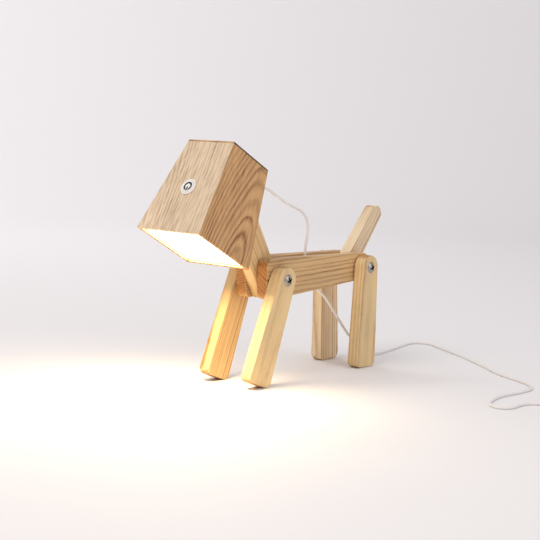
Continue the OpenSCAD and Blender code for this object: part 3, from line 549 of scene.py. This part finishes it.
metals = {  # colour, wear in mm along X, Y and Z, its detail, roughness from and to
    "nickel": ("#ABA59D", (4, 4, 4), 4.0, (0.1, 0.3)),  # bright, on turned steel: mirror-like, faintly worn
    "zinc": ("#B9BABD", (0.8, 20, 0.8), 3.0, (0.3, 0.5)),  # on sheet steel: grey, satin, rolled one way
    "gold": ("#D9B25A", (1, 1, 1), 2.0, (0.18, 0.36)),  # thin gold on copper contacts: warm and bright
}
recessShade = {  # painted shade: left in the bolt's key recess, coloured nearly black
    "colour": "#1E1B1A",
    "below": (0.5, 0.1),  # mm under the dome where it is all painted shade, and where it is all plate
}


def platedMetal(name, metal, dome=None):
    colour, wear, detail, rough = metals[metal]
    material, tree, shader = newMaterial(name, {"Metallic": 1.0, "Base Color": toLinear(colour)})
    place = addNode(tree, "ShaderNodeTexCoord")
    scaled = addNode(tree, "ShaderNodeMapping", {"Scale": [1 / (size * mm) for size in wear]},
                     {"Vector": place.outputs["Object"]})
    worn = addNode(tree, "ShaderNodeTexNoise", {"Scale": 1.0, "Detail": detail},
                   {"Vector": scaled.outputs[0]})
    shine = addNode(tree, "ShaderNodeMapRange", {"To Min": rough[0], "To Max": rough[1]},
                    {"Value": worn.outputs["Fac"]})
    tree.links.new(shine.outputs[0], shader.inputs["Roughness"])
    # painted shade: what lies sunk under the dome, in the key recess, is coloured nearly black
    if dome:
        deep, shallow = (dome["radius"] - depth * mm for depth in recessShade["below"])
        reach = addNode(tree, "ShaderNodeVectorMath", {"operation": "DISTANCE", 1: dome["centre"]},
                        {0: place.outputs["Object"]})
        skin = addNode(tree, "ShaderNodeMapRange", {"From Min": deep, "From Max": shallow},
                       {"Value": reach.outputs["Value"]})
        plate = addNode(tree, "ShaderNodeMix", {
            "data_type": "RGBA", 6: toLinear(recessShade["colour"]), 7: toLinear(colour)}, {0: skin.outputs[0]})
        tree.links.new(plate.outputs[2], shader.inputs["Base Color"])
    return material


# moulded plastic: an even colour with a fine spark-eroded skin, which the light enters a little way
plastic = {
    "ior": 1.49,
    "enters": (4, 3, 2),  # mm of red, green and blue
    "skin": {"Strength": 0.12, "Distance": 0.1 * mm},
}


def mouldedPlastic(name, colour, rough, grit, soft=0.0):
    material, tree, shader = newMaterial(name, {
        "Base Color": toLinear(colour), "Roughness": rough, "IOR": plastic["ior"], "Subsurface Weight": soft,
        "Subsurface Radius": [depth * mm for depth in plastic["enters"]]})
    place = addNode(tree, "ShaderNodeTexCoord")
    skin = addNode(tree, "ShaderNodeTexNoise", {"Scale": 1 / (grit * mm), "Detail": 2.0},
                   {"Vector": place.outputs["Object"]})
    bump = addNode(tree, "ShaderNodeBump", plastic["skin"], {"Height": skin.outputs["Fac"]})
    tree.links.new(bump.outputs[0], shader.inputs["Normal"])
    return material


# opal acrylic lit from behind: warm white, a little brighter in the middle
opal = {
    "colour": "#FFF6E4",
    "glow": "#FFE2AE",
    "rough": 0.35,
    "ior": 1.49,
    "reach": 75,  # mm from the middle to the corners
    "strength": (10.0, 5.5),
}


def litOpal(middle):
    material, tree, shader = newMaterial("lit opal acrylic", {
        "Base Color": toLinear(opal["colour"]), "Roughness": opal["rough"], "IOR": opal["ior"],
        "Emission Color": toLinear(opal["glow"])})
    place = addNode(tree, "ShaderNodeTexCoord")
    reach = addNode(tree, "ShaderNodeVectorMath", {"operation": "DISTANCE", 1: middle},
                    {0: place.outputs["Object"]})
    glow = addNode(tree, "ShaderNodeMapRange", {
        "From Max": opal["reach"] * mm, "To Min": opal["strength"][0], "To Max": opal["strength"][1]},
        {"Value": reach.outputs["Value"]})
    tree.links.new(glow.outputs[0], shader.inputs["Emission Strength"])
    return material


slotMaterials = {
    "nickel": platedMetal("bright nickel plate", "nickel"),
    "steel": platedMetal("zinc plated steel", "zinc"),
    "fibre": mouldedPlastic("vulcanised fibre", "#3A3733", 0.7, 0.5),  # pressed paper: dull, nearly black
    "diffuser_acrylic": litOpal(centreOf("diffuser")),
    "light_plate": mouldedPlastic("white painted plate", "#ECEBE6", 0.45, 0.6),  # sprayed: white, satin
    "light_chip": mouldedPlastic("phosphor", "#E9CF62", 0.4, 0.3),  # cast in resin: yellow
    "laminate": mouldedPlastic("solder mask", "#1E4A2A", 0.35, 0.4),  # lacquer on glass fibre: dark green
    "black_plastic": mouldedPlastic("black nylon", "#1B1B1C", 0.5, 0.5),  # moulded: even, satin
    "white_plastic": mouldedPlastic("white ABS", "#EDEBE6", 0.32, 0.4, 0.05),  # moulded: clean, half gloss
    "cord_white": mouldedPlastic("soft white PVC", "#ECE8E5", 0.42, 0.7, 0.08),  # drawn: milky, a soft shine
    "lead_red": mouldedPlastic("red PVC", "#9C2420", 0.45, 0.6),  # drawn: plain red, satin
    "cleat_wood": ashWood("raw ash cleats", {
        "wood": "leg", "from": headHinge, "turn": (0, -headTilt, 0), "heart": (90, 40), "slant": (0.03, 0.03),
        "ring": 4.0, "wander": 4}),
}
for entry in frame["record"]["subparts"]:
    node = frame["nodes"][entry["node"]]
    material = slotMaterials.get(entry["material_slot"])
    if material and not node.hide_render:
        node.data.materials.clear()
        node.data.materials.append(material)
for piece in (archHigh, archLow, floorCord):
    piece.data.materials.append(slotMaterials["cord_white"])
print("materials set")


# the bolts' own plating with painted shade in their recesses, and small pieces with their edges eased

boltHead = {
    "radius": 8.5,  # mm
    "height": 3.6,
}
domeRadius = (boltHead["radius"] ** 2 + boltHead["height"] ** 2) / (2 * boltHead["height"]) * mm
for name in ("front_bolt", "rear_bolt"):
    middle = centreOf(name)
    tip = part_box(name)[0][1]
    dome = {"centre": Vector((middle.x, tip + domeRadius, middle.z)), "radius": domeRadius}
    plating = platedMetal("nickel plate of " + name.replace("_", " "), "nickel", dome)
    frame["nodes"][name].data.materials[0] = plating

easedPieces = {  # node: edge in mm, slot, body
    "switch_housing": (0.35, "white_plastic", "head"),
    "button_cap": (0.45, "white_plastic", "button"),
    "left_hinge_bracket": (0.3, "steel", "head"),
    "right_hinge_bracket": (0.3, "steel", "head"),
    "plug_grip": (0.8, "cord_white", "body"),
    "cord_tie": (0.2, "black_plastic", "body"),
    "cord_clip": (0.3, "white_plastic", "body"),
}
eased = {}
for name, (edge, slotName, body) in easedPieces.items():
    eased[name] = softened(name, edge, [], slotMaterials[slotName], body)
print("small pieces eased:", len(easedPieces))


# strain relief: a tapered boot of the cord's own plastic, with grooves that let it bend

boot = {
    "exit": (-86.93, 0, 285.05),  # mm, on the head's underside
    "axis": (0.9295, 0, -0.3687),
    "length": 22.0,
    "baseRadius": 4.2,
    "tipRadius": 2.9,
    "tipRound": (0.5, 0.4),  # along and inwards, like the two below
    "flangeRadius": 5.5,
    "flange": 1.5,
    "flangeFoot": (0.25, 0.2),
    "flangeRound": (0.4, 0.5),
    "stem": 7.5,
    "stemRadius": 3.4,
    "bore": 1.9,
    "grooves": 5,
    "grooveDepth": 0.75,
    "grooveFrom": 1.6,  # from the flange
    "grooveMargins": 3,  # of the taper's length without grooves
    "groove": ((0, 0), (0.15, 0.6), (0.3, 1), (1.2, 1), (1.35, 0.6), (1.5, 0)),  # along, share of the depth
    "sides": 40,
    "smoothTo": 40,  # degrees
}


def addBoot(b):
    exitPoint = Vector(b["exit"])
    axis = Vector(b["axis"]).normalized()
    across = Vector((0, 1, 0))
    upward = axis.cross(across)

    def taper(x):
        return b["baseRadius"] + (b["tipRadius"] - b["baseRadius"]) * x / b["length"]

    wide = b["flangeRadius"]
    profile = [(-b["stem"], b["bore"]), (-b["stem"], b["stemRadius"]), (0, b["stemRadius"])]
    profile += [(0, wide - b["flangeFoot"][1]), (b["flangeFoot"][0], wide)]
    profile += [(b["flange"] - b["flangeRound"][0], wide), (b["flange"], wide - b["flangeRound"][1])]
    profile.append((b["flange"], taper(b["flange"])))
    pitch = (b["length"] - b["flange"] - b["grooveMargins"]) / b["grooves"]
    for i in range(b["grooves"]):
        start = b["flange"] + b["grooveFrom"] + i * pitch
        profile += [(start + dx, taper(start + dx) - cut * b["grooveDepth"]) for dx, cut in b["groove"]]
    last = b["length"] - b["tipRound"][0]
    profile += [(last, taper(last)), (b["length"], b["tipRadius"] - b["tipRound"][1])]
    profile.append((b["length"], b["bore"]))
    shape = bmesh.new()
    rings = [ringAround(shape, mm * (exitPoint + along * axis), across, upward, mm * radius, b["sides"])
             for along, radius in profile]
    skinRings(shape, rings + rings[:1])
    bmesh.ops.recalc_face_normals(shape, faces=shape.faces)
    mesh = toMesh("strainRelief", shape, b["smoothTo"])
    piece = addPiece("strainRelief", mesh, slotMaterials["cord_white"])
    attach(piece, "head")
    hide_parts("cord_boot")


addBoot(boot)
print("strain relief made")


# plug: black sheets as painted shade in the windows of its shell, contacts on its tongue and grip ribs

plug = {
    "gripHeight": 8.0,  # mm, like all lengths here
    "shellEnd": 49.8,  # from the start of its boot, like the two below
    "windowMiddle": 44.6,
    "ribFrom": 21.0,
    "shellHeight": 4.5,
    "window": (2.4, 2.0, 0.06),
    "windowAside": 2.9,
    "contact": (6.5, 1.0, 0.08),
    "contactInset": 1.2,
    "contactAside": (-3.5, -1.2, 1.2, 3.5),
    "rib": (0.9, 9.0, 0.7),
    "ribEdge": 0.25,
    "ribPitch": 2.3,
    "ribs": 5,
}


def addPlugPiece(name, middles, size, material, edge=0):
    turned = Matrix((coilHeading, Vector((-coilHeading.y, coilHeading.x, 0)), Vector((0, 0, 1)))).transposed()
    shape = bmesh.new()
    for middle in middles:
        for v in bmesh.ops.create_cube(shape, size=1.0)["verts"]:
            corner = Vector([c * s for c, s in zip(v.co, size)])
            v.co = mm * (plugStart + turned @ Vector(middle) + turned @ corner)
    if edge:
        bmesh.ops.bevel(shape, geom=list(shape.edges), offset=edge * mm, segments=2, profile=0.5,
                        affect="EDGES")
    piece = addPiece(name, toMesh(name, shape), material)
    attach(piece, "body")
    return piece


def addPlugDetail(p):
    faces = (p["shellHeight"] / 2, -p["shellHeight"] / 2)
    windows = [(p["windowMiddle"], side * p["windowAside"], z) for z in faces for side in (-1, 1)]
    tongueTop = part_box("plug_tongue")[1][2] / mm - cord["plugHeight"]
    contactMiddle = p["shellEnd"] - p["contactInset"] - p["contact"][0] / 2
    contacts = [(contactMiddle, aside, tongueTop) for aside in p["contactAside"]]
    ribs = [(p["ribFrom"] + p["ribPitch"] * i, 0, p["gripHeight"] / 2) for i in range(p["ribs"])]
    black, white = slotMaterials["black_plastic"], slotMaterials["cord_white"]
    return [
        # thin black sheets on the shell's windows: painted shade for the dark inside seen through them
        addPlugPiece("plugWindowShade", windows, p["window"], black),
        addPlugPiece("plugContacts", contacts, p["contact"], platedMetal("gold flash", "gold")),
        addPlugPiece("plugRibs", ribs, p["rib"], white, p["ribEdge"]),
    ]


plugPieces = addPlugDetail(plug) + [eased["plug_grip"], eased["cord_tie"]]
plugPieces += [frame["nodes"][n] for n in ("plug_shell", "plug_tongue")]
print("plug detailed")


# power mark, printed on the push button

powerMark = {
    "outer": 6.7,  # mm, like all lengths here
    "inner": 4.1,
    "gap": 25.0,  # half of the opening, degrees
    "bar": 2.2,
    "barFrom": 0.4,
    "barTo": 7.0,
    "thick": 0.12,
    "sunk": 0.05,
    "faceWithin": 0.01,
    "steps": 48,
}


def addPowerMark(mark):
    press = next(j for j in frame["joints"] if j["name"] == "button_press")
    outward = -Vector(press["axis"]).normalized()
    back = Vector((0, 1, 0)).cross(outward)  # along the head's top, towards its closed end
    if back.z < 0:
        back = -back
    side = outward.cross(back)
    corners = [v.co for v in frame["nodes"]["button_cap"].data.vertices]
    top = max(c.dot(outward) for c in corners)
    face = [c for c in corners if c.dot(outward) > top - mark["faceWithin"] * mm]
    middle = sum(face, Vector()) / len(face) - mark["sunk"] * mm * outward
    shape = bmesh.new()

    def slab(outline):
        low = [shape.verts.new(middle + mm * (x * back + y * side)) for x, y in outline]
        high = [shape.verts.new(v.co + mark["thick"] * mm * outward) for v in low]
        shape.faces.new(high)
        shape.faces.new(low[::-1])
        skinRings(shape, [low, high])

    # the ring opens towards the open end of the head, and so does the bar
    start = math.pi + math.radians(mark["gap"])
    sweep = 2 * math.pi - 2 * math.radians(mark["gap"])
    for i in range(mark["steps"]):
        angles = [start + sweep * k / mark["steps"] for k in (i, i + 1)]
        near, far = ((math.cos(a), math.sin(a)) for a in angles)
        slab([(radius * x, radius * y) for radius, (x, y) in (
            (mark["inner"], near), (mark["outer"], near), (mark["outer"], far), (mark["inner"], far))])
    half = mark["bar"] / 2
    barEnd, barStart = -mark["barTo"], -mark["barFrom"]
    slab([(barEnd, -half), (barStart, -half), (barStart, half), (barEnd, half)])
    bmesh.ops.recalc_face_normals(shape, faces=shape.faces)
    ink = mouldedPlastic("dark print", "#1C2126", 0.5, 0.5)  # ink pressed on with a pad: dark grey, satin
    piece = addPiece("powerMark", toMesh("powerMark", shape), ink)
    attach(piece, "button")


addPowerMark(powerMark)
print("button marked")


# paper sweep and light

studio = {
    "paper": "#EFEEEF",  # matte white paper: very pale, with a fine tooth
    "paperRough": 0.8,
    "tooth": 2,  # mm
    "toothBump": {"Strength": 0.05, "Distance": 0.1 * mm},
    "flat": 2.6,  # m from the lamp to where the paper starts to rise
    "rise": (1.6, 1.5),  # m out and up
    "turns": 96,
    "bends": 24,
    "smoothTo": 40,  # degrees
    "sky": "#F4F1F3",
    "skyStrength": 0.6,
}

lights = {  # place, aim and size in m
    "keyLight": {"place": (-1.7, 0.1, 2.2), "aim": (0, 0, 0.15), "size": 1.6, "power": 29,
                 "colour": "#FFF8F0"},
    "fillLight": {"place": (0.3, -2.2, 1.3), "aim": (0, 0, 0.15), "size": 2.0, "power": 11,
                  "colour": "#FAF8FF"},
    "backdropLight": {"place": (0.5, 2.0, 2.4), "aim": (1.9, 2.9, 0.2), "size": 1.2, "power": 27,
                      "colour": "#FFFCFB"},
}
lamp = {
    "size": 0.098,  # m
    "power": 1.08,
    "colour": "#FFE6BA",
    "before": 2.2,  # mm from the diffuser's middle
}


def addFloor(setup):
    material, tree, shader = newMaterial("matte paper", {
        "Base Color": toLinear(setup["paper"]), "Roughness": setup["paperRough"]})
    place = addNode(tree, "ShaderNodeTexCoord")
    tooth = addNode(tree, "ShaderNodeTexNoise", {"Scale": 1 / (setup["tooth"] * mm), "Detail": 2.0},
                    {"Vector": place.outputs["Object"]})
    bump = addNode(tree, "ShaderNodeBump", setup["toothBump"], {"Height": tooth.outputs["Fac"]})
    tree.links.new(bump.outputs[0], shader.inputs["Normal"])
    shape = bmesh.new()
    rings = []
    for i in range(setup["bends"] + 1):
        a = math.pi / 2 * i / setup["bends"]
        middle = Vector((0, 0, setup["rise"][1] * (1 - math.cos(a))))
        radius = setup["flat"] + setup["rise"][0] * math.sin(a)
        rings.append(ringAround(shape, middle, Vector((1, 0, 0)), Vector((0, 1, 0)), radius, setup["turns"]))
    shape.faces.new(rings[0])
    skinRings(shape, rings[::-1])
    bmesh.ops.recalc_face_normals(shape, faces=shape.faces)
    addPiece("paperSweep", toMesh("paperSweep", shape, setup["smoothTo"]), material)


def addLight(name, setup, place, facing):
    data = bpy.data.lights.new(name, "AREA")
    data.shape = "SQUARE"
    data.size = setup["size"]
    data.energy = setup["power"]
    data.color = toLinear(setup["colour"])[:3]
    light = bpy.data.objects.new(name, data)
    light.location = place
    light.rotation_euler = facing.to_track_quat("-Z", "Y").to_euler()
    bpy.context.scene.collection.objects.link(light)
    return light


world = bpy.data.worlds.new("studio")
world.use_nodes = True
sky = world.node_tree.nodes["Background"]
sky.inputs["Color"].default_value = toLinear(studio["sky"])
sky.inputs["Strength"].default_value = studio["skyStrength"]
bpy.context.scene.world = world
addFloor(studio)
for name, setup in lights.items():
    addLight(name, setup, Vector(setup["place"]), Vector(setup["aim"]) - Vector(setup["place"]))
lampFacing = -Vector((math.cos(math.radians(headTilt)), 0, math.sin(math.radians(headTilt))))
lampLight = addLight("lampLight", lamp, centreOf("diffuser") + lamp["before"] * mm * lampFacing, lampFacing)
lampLight.visible_camera = False
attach(lampLight, "head")
bpy.context.scene.view_settings.view_transform = "Standard"
print("studio lit")
